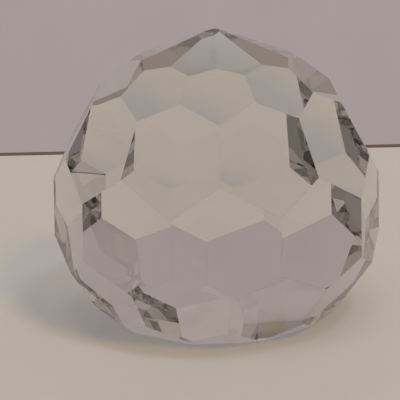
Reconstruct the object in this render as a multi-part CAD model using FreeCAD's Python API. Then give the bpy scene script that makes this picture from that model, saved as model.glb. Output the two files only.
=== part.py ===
import FreeCAD, Part
import math
import os

# A cut-crystal ball paperweight: one solid piece of clear glass, standing on a flat.
# Rows of flat facets run round the ball, ten to a row. Each row starts half a facet on
# from the row above, so that the facets lock together like a honeycomb, and the top row
# rises to a point.
#
# The glass is held three times: once to cut the rows above the equator, once for the
# equator itself, and once, turned over, for the rows below. Each time it sits a degree or
# two differently in the holder, as hand-cut glass does, so each set of rows is slightly
# turned and leaning against the others.
#
# Frame: the origin is the centre of the flat base, +Z is the axis of the ball, and the
# middle of one equator facet faces -Y.

# Driving dimensions, in millimetres and degrees.
FACETS_PER_ROW = 10
BALL_RADIUS = 30.5
BASE_DROP = 23.4

# The rows from the top down. tilt: how far the facet looks up above the equator.
# cut: how far the facet's plane lies inside the ball's surface. half_step: whether the
# row starts half a facet round. held: how the glass is held while the row is cut.
ROWS = (
    {"tilt": 69.6, "cut": 0.3, "half_step": True, "held": "upper"},
    {"tilt": 51.3, "cut": 0.4, "half_step": False, "held": "upper"},
    {"tilt": 27.9, "cut": 1.1, "half_step": True, "held": "upper"},
    {"tilt": 1.1, "cut": 0.75, "half_step": False, "held": "equator"},
    {"tilt": -32.9, "cut": 0.0, "half_step": True, "held": "lower"},
    {"tilt": -54.9, "cut": 0.1, "half_step": False, "held": "lower"},
)

# How the glass sits in the holder for each set of rows. turn: round the ball's own axis.
# lean_back: the top away from the front. lean_right: the top towards the right.
# shift: how far the set's centre is from the ball's centre.
HOLDS = {
    "upper": {"turn": -1.5, "lean_back": 0.1, "lean_right": 0.1, "shift": (-0.1, 0.2, -0.25)},
    "equator": {"turn": 0.0, "lean_back": 0.0, "lean_right": 0.0, "shift": (0.0, 0.0, 0.0)},
    "lower": {"turn": 2.7, "lean_back": 1.1, "lean_right": 1.8, "shift": (-0.15, 0.15, -0.3)},
}

STEP_ANGLE = 360.0 / FACETS_PER_ROW
# The blank and the grinding block are only large enough to leave nothing uncut.
BLANK_RADIUS = 1.3 * BALL_RADIUS
BLOCK_SIZE = 4.0 * BALL_RADIUS
BALL_CENTRE = FreeCAD.Vector(0.0, 0.0, BASE_DROP)
AXIS_X = FreeCAD.Vector(1, 0, 0)
AXIS_Y = FreeCAD.Vector(0, 1, 0)
AXIS_Z = FreeCAD.Vector(0, 0, 1)


def direction(azimuth, tilt):
    """The unit vector at an angle round from -Y and an angle up from level."""
    around = math.radians(azimuth)
    up = math.radians(tilt)
    return FreeCAD.Vector(
        math.sin(around) * math.cos(up),
        -math.cos(around) * math.cos(up),
        math.sin(up),
    )


def blank():
    """A cylinder of glass on the base plane, wider and taller than the finished ball."""
    return Part.makeCylinder(BLANK_RADIUS, BASE_DROP + BLANK_RADIUS)


def grinding_block(normal, distance):
    """A block that holds all the glass beyond a plane at a distance from the origin."""
    block = Part.makeBox(BLOCK_SIZE, BLOCK_SIZE, BLOCK_SIZE)
    block.translate(FreeCAD.Vector(-BLOCK_SIZE / 2, -BLOCK_SIZE / 2, 0.0))
    facing = FreeCAD.Placement(normal * distance, FreeCAD.Rotation(AXIS_Z, normal))
    block.Placement = facing.multiply(block.Placement)
    return block


def held(hold):
    """The placement of one set of rows on the ball, from the way the glass is held."""
    leaning = (
        FreeCAD.Rotation(AXIS_X, -hold["lean_back"])
        .multiply(FreeCAD.Rotation(AXIS_Y, hold["lean_right"]))
        .multiply(FreeCAD.Rotation(AXIS_Z, hold["turn"]))
    )
    return FreeCAD.Placement(BALL_CENTRE + FreeCAD.Vector(*hold["shift"]), leaning)


def cut_row(glass, row):
    """The glass with one row of facets ground on it."""
    start = STEP_ANGLE / 2 if row["half_step"] else 0.0
    placement = held(HOLDS[row["held"]])
    for index in range(FACETS_PER_ROW):
        normal = direction(start + index * STEP_ANGLE, row["tilt"])
        block = grinding_block(normal, BALL_RADIUS - row["cut"])
        block.Placement = placement.multiply(block.Placement)
        glass = glass.cut(block)
    return glass


def centred(glass):
    """The glass moved sideways so that the middle of its outline is over the origin."""
    middle = glass.BoundBox.Center
    glass.translate(FreeCAD.Vector(-middle.x, -middle.y, 0.0))
    return glass


def crystal_body():
    """The whole paperweight: a blank with every row of facets cut on it."""
    glass = blank()
    for row in ROWS:
        glass = cut_row(glass, row)
    return centred(glass.Solids[0])


os.makedirs("parts", exist_ok=True)
crystal_body().exportStep("parts/crystal_body.step")
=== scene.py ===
import math
import random

import bmesh
import bpy
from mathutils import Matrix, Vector


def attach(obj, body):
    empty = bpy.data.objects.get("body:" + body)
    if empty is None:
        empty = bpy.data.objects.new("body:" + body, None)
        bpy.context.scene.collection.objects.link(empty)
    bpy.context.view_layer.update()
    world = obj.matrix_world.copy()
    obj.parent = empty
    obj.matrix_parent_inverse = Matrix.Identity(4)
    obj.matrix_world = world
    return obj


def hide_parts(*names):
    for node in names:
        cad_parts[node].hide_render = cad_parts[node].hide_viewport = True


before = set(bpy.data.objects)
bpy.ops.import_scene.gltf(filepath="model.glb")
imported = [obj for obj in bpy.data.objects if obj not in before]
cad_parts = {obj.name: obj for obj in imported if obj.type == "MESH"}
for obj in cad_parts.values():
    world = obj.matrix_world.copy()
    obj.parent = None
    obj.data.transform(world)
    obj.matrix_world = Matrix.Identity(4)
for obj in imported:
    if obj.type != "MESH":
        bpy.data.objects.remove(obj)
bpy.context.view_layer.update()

# Everything is in metres, in the frame of the CAD part: the origin is the centre of the
# flat base, +Z is up, and the front of the ball looks along -Y.
MILLIMETRE = 0.001


# ---------------------------------------------------------------- node helpers

def node(tree, kind, **settings):
    """A new shader node with its properties set."""
    made = tree.nodes.new(kind)
    for name, value in settings.items():
        setattr(made, name, value)
    return made


def link(tree, source, target):
    """Joins an output socket to an input socket."""
    tree.links.new(source, target)


def new_material(name):
    """A material with nodes, and the tree and Principled shader in it."""
    material = bpy.data.materials.new(name)
    material.use_nodes = True
    tree = material.node_tree
    return material, tree, tree.nodes["Principled BSDF"]


def object_coordinates(tree, stretch=(1.0, 1.0, 1.0)):
    """Coordinates in metres on the piece, scaled along each axis."""
    coordinates = node(tree, "ShaderNodeTexCoord")
    mapping = node(tree, "ShaderNodeMapping")
    mapping.inputs["Scale"].default_value = stretch
    link(tree, coordinates.outputs["Object"], mapping.inputs["Vector"])
    return mapping.outputs["Vector"]


def noise(tree, vector, scale, detail=4.0, roughness=0.5):
    """A noise pattern, from 0 to 1."""
    made = node(tree, "ShaderNodeTexNoise")
    made.inputs["Scale"].default_value = scale
    made.inputs["Detail"].default_value = detail
    made.inputs["Roughness"].default_value = roughness
    link(tree, vector, made.inputs["Vector"])
    return made.outputs["Fac"]


def remap(tree, value, from_low, from_high, to_low, to_high):
    """A value mapped from one range to another, and held inside it."""
    made = node(tree, "ShaderNodeMapRange", clamp=True)
    made.inputs["From Min"].default_value = from_low
    made.inputs["From Max"].default_value = from_high
    made.inputs["To Min"].default_value = to_low
    made.inputs["To Max"].default_value = to_high
    link(tree, value, made.inputs["Value"])
    return made.outputs["Result"]


def maths(tree, operation, first, second):
    """One arithmetic step on two values, each a socket or a number."""
    made = node(tree, "ShaderNodeMath", operation=operation)
    for index, value in enumerate((first, second)):
        if isinstance(value, float):
            made.inputs[index].default_value = value
        else:
            link(tree, value, made.inputs[index])
    return made.outputs["Value"]


def outward(azimuth, elevation):
    """The unit vector at an angle round from -Y and an angle up from level, in degrees."""
    around, up = math.radians(azimuth), math.radians(elevation)
    return Vector(
        (
            math.sin(around) * math.cos(up),
            -math.cos(around) * math.cos(up),
            math.sin(up),
        )
    )


# ------------------------------------------------------------------- materials

GLASS_IOR = 1.545
# What a metre of the glass takes out of red, green and blue light.
GLASS_LOSS = (2.5, 2.7, 2.9)
LOSS_SCALE = 10.0
# Each set of scratches is a noise pattern drawn out along one way.
SCRATCH_STRETCHES = ((900.0, 60.0, 60.0), (50.0, 50.0, 800.0), (300.0, 40.0, 500.0))
SCRATCH_DEPTH = 0.004 * MILLIMETRE
SCRATCH_STRENGTH = 0.25
# How many patches of each pattern there are to a metre.
SMUDGE_SCALE = 90.0
DUST_SCALE = 2600.0
MOTTLE_SCALE = 22.0
# How much of the light a speck of dust stops.
DUST_COVER = 0.35
# The darkest and the palest that the mottling makes the paint.
MOTTLE_SHADES = (0.975, 1.02)


def scratches(tree):
    """Hairline scratches in three directions, as a height from 0 to 1."""
    height = None
    for stretch in SCRATCH_STRETCHES:
        lines = noise(tree, object_coordinates(tree, stretch), 1.0, detail=2.0)
        lines = remap(tree, lines, 0.70, 0.78, 0.0, 1.0)
        height = lines if height is None else maths(tree, "MAXIMUM", height, lines)
    return height


def glass_body(name, plain_roughness, smudge_roughness):
    """Clear glass that takes a little out of the light, with smudges, dust and scratches."""
    material, tree, shader = new_material(name)
    shader.inputs["IOR"].default_value = GLASS_IOR
    shader.inputs["Base Color"].default_value = (1.0, 1.0, 1.0, 1.0)
    place = object_coordinates(tree)

    smudges = remap(tree, noise(tree, place, SMUDGE_SCALE, detail=6.0), 0.55, 0.8, 0.0, 1.0)
    link(
        tree,
        remap(tree, smudges, 0.0, 1.0, plain_roughness, smudge_roughness),
        shader.inputs["Roughness"],
    )

    specks = noise(tree, place, DUST_SCALE, detail=1.0)
    dust = remap(tree, specks, 0.79, 0.83, 0.0, DUST_COVER)
    link(tree, maths(tree, "SUBTRACT", 1.0, dust), shader.inputs["Transmission Weight"])

    bump = node(tree, "ShaderNodeBump")
    bump.inputs["Strength"].default_value = SCRATCH_STRENGTH
    bump.inputs["Distance"].default_value = SCRATCH_DEPTH
    link(tree, scratches(tree), bump.inputs["Height"])
    link(tree, bump.outputs["Normal"], shader.inputs["Normal"])

    absorption = node(tree, "ShaderNodeVolumeAbsorption")
    absorption.inputs["Density"].default_value = LOSS_SCALE
    absorption.inputs["Color"].default_value = (
        *(1.0 - loss / LOSS_SCALE for loss in GLASS_LOSS),
        1.0,
    )
    output = tree.nodes["Material Output"]
    link(tree, absorption.outputs["Volume"], output.inputs["Volume"])
    return material


def polished_facets():
    """The big polished facets: almost perfectly smooth."""
    return glass_body("crystal_facets", 0.0, 0.03)


def ground_arrises():
    """The narrow strips along the edges, left by the finest grinding wheel."""
    return glass_body("crystal_arrises", 0.05, 0.3)


def stage_paint(name, colour, roughness, painted_glow=0.0):
    """Matt paint with a faint mottling, and a glow of painted light: the emission stands in for
    lamp light falling on the surface.
    """
    material, tree, shader = new_material(name)
    mottle = noise(tree, object_coordinates(tree), MOTTLE_SCALE, detail=8.0, roughness=0.65)
    shade = remap(tree, mottle, 0.3, 0.7, *MOTTLE_SHADES)
    scale = node(tree, "ShaderNodeVectorMath", operation="SCALE")
    scale.inputs["Vector"].default_value = colour
    link(tree, shade, scale.inputs["Scale"])
    link(tree, scale.outputs["Vector"], shader.inputs["Base Color"])
    shader.inputs["Roughness"].default_value = roughness
    shader.inputs["Specular IOR Level"].default_value = 0.1
    # Painted light: the emission makes the surface look lit, in place of lamp light falling on
    # it.
    shader.inputs["Emission Color"].default_value = (*colour, 1.0)
    shader.inputs["Emission Strength"].default_value = painted_glow
    return material


# ---------------------------------------------------------------- the crystal

ARRIS_WIDTH = 0.015 * MILLIMETRE
# Triangles that turn by less than this from one to the next belong to one facet.
FLAT_ANGLE = math.radians(1.0)
SAME_POINT = 0.001 * MILLIMETRE
# The chip off the point of the ball, as the angle round from -Y and the angle above level
# that its flat faces.
POINT_CHIP_FACING = (-44.0, 76.0)
POINT_CHIP_DEPTH = 0.42 * MILLIMETRE
# The tiny chips at other corners, which a draw of random numbers picks.
SMALL_CHIP_SEED = 11
SMALL_CHIP_COUNT = 7
SMALL_CHIP_DEPTHS = (0.02 * MILLIMETRE, 0.06 * MILLIMETRE)


def facets_of(node_object):
    """A bmesh with one flat face for each facet of the CAD solid."""
    shape = bmesh.new()
    shape.from_mesh(node_object.data)
    bmesh.ops.remove_doubles(shape, verts=shape.verts, dist=SAME_POINT)
    bmesh.ops.dissolve_limit(
        shape, angle_limit=FLAT_ANGLE, verts=shape.verts, edges=shape.edges
    )
    return shape


def cut_chip(shape, corner, facing, depth):
    """Takes a small flat chip off the glass at one corner."""
    cut = bmesh.ops.bisect_plane(
        shape,
        geom=shape.verts[:] + shape.edges[:] + shape.faces[:],
        plane_co=corner.co - facing * depth,
        plane_no=facing,
        clear_outer=True,
    )
    rim = [e for e in cut["geom_cut"] if isinstance(e, bmesh.types.BMEdge)]
    bmesh.ops.contextual_create(shape, geom=rim)


def chip_corners(shape):
    """Chips the point of the ball, and a few other corners less."""
    draw = random.Random(SMALL_CHIP_SEED)
    point = max(shape.verts, key=lambda corner: corner.co.z)
    cut_chip(shape, point, outward(*POINT_CHIP_FACING), POINT_CHIP_DEPTH)
    for _ in range(SMALL_CHIP_COUNT):
        corner = draw.choice(sorted(shape.verts, key=lambda vert: vert.co[:]))
        facing = sum((face.normal for face in corner.link_faces), Vector()).normalized()
        cut_chip(shape, corner, facing, draw.uniform(*SMALL_CHIP_DEPTHS))


def soften_arrises(shape):
    """Breaks every edge with a narrow strip, and gives the strips the second material."""
    bmesh.ops.bevel(
        shape,
        geom=shape.edges[:],
        offset=ARRIS_WIDTH,
        offset_type="WIDTH",
        segments=1,
        affect="EDGES",
        clamp_overlap=True,
        material=1,
    )


def crystal():
    """The finished paperweight, made from the facets of the CAD solid."""
    shape = facets_of(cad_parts["crystal_body"])
    chip_corners(shape)
    soften_arrises(shape)
    bmesh.ops.recalc_face_normals(shape, faces=shape.faces)
    mesh = bpy.data.meshes.new("cut_crystal")
    shape.to_mesh(mesh)
    shape.free()
    mesh.materials.append(polished_facets())
    mesh.materials.append(ground_arrises())
    piece = bpy.data.objects.new("cut_crystal", mesh)
    bpy.context.scene.collection.objects.link(piece)
    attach(piece, "root")
    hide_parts("crystal_body")


# ------------------------------------------------------------------- the stage

TABLE_EDGE = 126.9 * MILLIMETRE
# The thin layer of air that stays between the glass and the paint.
TABLE_TOP = -0.04 * MILLIMETRE
TABLE_THICKNESS = 25.0 * MILLIMETRE
TABLE_REACH = 1.6
# The dark strip along the table's far edge is painted shade: it stands for the shaded gap between
# the table and the wall.
GAP_SHADE_WIDTH = 3.6 * MILLIMETRE
# The table's far edge and the wall are not quite square to the ball's front.
EDGE_TURN = math.radians(-1.15)
WALL_BEHIND = 0.9
WALL_REACH = 1.8
# Painted light: how strongly the wall glows, standing in for the lamp light that falls on it.
WALL_PAINTED_LIGHT = 0.19
TABLE_COLOUR = (0.805, 0.79, 0.76)
# Painted shade: the colour of the dark strip that stands for the shaded gap behind the table.
GAP_SHADE_COLOUR = (0.20, 0.155, 0.13)
WALL_COLOUR = (0.665, 0.62, 0.65)


def stage_box(name, low, high, material):
    """One box of the stage, turned with the table."""
    shape = bmesh.new()
    bmesh.ops.create_cube(shape, size=1.0)
    for vert in shape.verts:
        vert.co = Vector(
            lo + (hi - lo) * (at + 0.5) for lo, hi, at in zip(low, high, vert.co)
        )
    mesh = bpy.data.meshes.new(name)
    shape.to_mesh(mesh)
    shape.free()
    mesh.materials.append(material)
    box = bpy.data.objects.new(name, mesh)
    box.rotation_euler.z = EDGE_TURN
    bpy.context.scene.collection.objects.link(box)


def stage():
    """A pale table top that ends a little way behind the ball, with a dark strip of painted shade
    along its far edge for the shaded gap before the wall, and a wall beyond it.
    """
    reach, bottom = TABLE_REACH, -TABLE_THICKNESS
    stage_box(
        "stage_table",
        (-reach, -reach, bottom),
        (reach, TABLE_EDGE, TABLE_TOP),
        stage_paint("table_paint", TABLE_COLOUR, 0.5),
    )
    # A dark strip of painted shade, standing for the shaded gap between the table and the wall.
    stage_box(
        "stage_gap_shade",
        (-reach, TABLE_EDGE, bottom),
        (reach, TABLE_EDGE + GAP_SHADE_WIDTH, TABLE_TOP),
        stage_paint("gap_shade_paint", GAP_SHADE_COLOUR, 0.7),
    )
    # The wall glows with painted light, standing in for the lamp light that falls on it.
    stage_box(
        "stage_wall",
        (-WALL_REACH, WALL_BEHIND, -WALL_REACH),
        (WALL_REACH, WALL_BEHIND + TABLE_THICKNESS, WALL_REACH),
        stage_paint("wall_paint", WALL_COLOUR, 0.8, painted_glow=WALL_PAINTED_LIGHT),
    )


# ---------------------------------------------------------- light and camera

LAMP_DISTANCE = 2.5
WARM = (1.0, 0.64, 0.24)
COOL = (0.86, 0.94, 1.0)
OVERHEAD = (-20.0, 80.0)
OVERHEAD_SPREAD = 16.0


def soft_light(name, facing, spread, power, colour, casts_shadow=True):
    """A round lamp far from the ball, in watts.

    facing: the angle round from -Y and the angle above level at which the lamp hangs.
    spread: how wide it looks from the ball, in degrees. The lamps are not seen through the
    glass. One that casts no shadow stands for the light that the glass lets through, so it
    lights only the matt surfaces.
    """
    towards = outward(*facing)
    lamp = bpy.data.lights.new(name, "AREA")
    lamp.shape = "DISK"
    lamp.size = 2.0 * LAMP_DISTANCE * math.tan(math.radians(spread / 2.0))
    lamp.energy = power
    lamp.color = colour
    lamp.use_shadow = casts_shadow
    made = bpy.data.objects.new(name, lamp)
    made.location = towards * LAMP_DISTANCE
    made.rotation_euler = towards.to_track_quat("Z", "Y").to_euler()
    made.visible_transmission = False
    made.visible_glossy = casts_shadow
    bpy.context.scene.collection.objects.link(made)


# Where the room is brightest, as the angle round from -Y and the angle above level.
BRIGHTEST = (-23.0, 70.0)
# The room's light in other directions, by the cosine of the angle from the brightest one.
ROOM_LIGHT = (
    (0.00, (0.265, 0.232, 0.214)),
    (0.50, (0.182, 0.165, 0.154)),
    (0.80, (0.228, 0.198, 0.178)),
    (0.93, (0.300, 0.248, 0.214)),
    (1.00, (0.570, 0.520, 0.475)),
)


def room():
    """The dim room round the table, paler towards the ceiling in front of the ball."""
    world = bpy.data.worlds.new("room")
    world.use_nodes = True
    tree = world.node_tree
    nearness = node(tree, "ShaderNodeVectorMath", operation="DOT_PRODUCT")
    nearness.inputs[1].default_value = outward(*BRIGHTEST)
    link(tree, node(tree, "ShaderNodeTexCoord").outputs["Generated"], nearness.inputs[0])
    ramp = node(tree, "ShaderNodeValToRGB")
    stops = ramp.color_ramp.elements
    while len(stops) < len(ROOM_LIGHT):
        stops.new(1.0)
    for stop, (at, colour) in zip(stops, ROOM_LIGHT):
        stop.position = at
        stop.color = (*colour, 1.0)
    link(tree, nearness.outputs["Value"], ramp.inputs["Fac"])
    link(tree, ramp.outputs["Color"], tree.nodes["Background"].inputs["Color"])
    bpy.context.scene.world = world


def lights():
    """A warm lamp and a cooler one to the front right, two lamps overhead, and the room."""
    soft_light("lamp_warm", (34.0, 48.0), 11.0, 9.1, WARM)
    soft_light("lamp_cool", (45.0, 66.0), 12.0, 5.6, COOL)
    soft_light("lamp_top", OVERHEAD, OVERHEAD_SPREAD, 2.0, (0.93, 0.97, 1.0))
    soft_light("lamp_fill", OVERHEAD, OVERHEAD_SPREAD, 7.6, (0.95, 0.97, 1.0), casts_shadow=False)
    room()


CAMERA_AZIMUTH = -2.9
CAMERA_ELEVATION = 15.5
CAMERA_DISTANCE = 306.5 * MILLIMETRE
CAMERA_LENS = 143.4
SENSOR_WIDTH = 36.0
CAMERA_ROLL = math.radians(-1.0)
BALL_CENTRE = Vector((0.0, 0.0, 23.4 * MILLIMETRE))
# The camera looks past the ball's centre, a little to the left and below.
AIM_OFFSET = Vector((-3.3, 0.0, -1.35)) * MILLIMETRE


def camera():
    """The camera, a little above the ball and a little to its left."""
    made = bpy.data.objects.new("camera", bpy.data.cameras.new("camera"))
    made.data.lens = CAMERA_LENS
    made.data.sensor_width = SENSOR_WIDTH
    made.data.clip_start = 10.0 * MILLIMETRE
    made.location = BALL_CENTRE + outward(CAMERA_AZIMUTH, CAMERA_ELEVATION) * CAMERA_DISTANCE
    back = made.location - (BALL_CENTRE + AIM_OFFSET)
    made.rotation_euler = back.to_track_quat("Z", "Y").to_euler()
    made.rotation_euler.rotate_axis("Z", CAMERA_ROLL)
    bpy.context.scene.collection.objects.link(made)
    bpy.context.scene.camera = made


LONGEST_PATH = 32
LONGEST_GLASS_PATH = 24


def light_paths():
    """Lets light go round inside the glass often enough to come out again."""
    cycles = bpy.context.scene.cycles
    cycles.max_bounces = LONGEST_PATH
    cycles.glossy_bounces = LONGEST_GLASS_PATH
    cycles.transmission_bounces = LONGEST_GLASS_PATH
    bpy.context.scene.view_settings.view_transform = "Standard"


light_paths()
camera()
crystal()
stage()
lights()
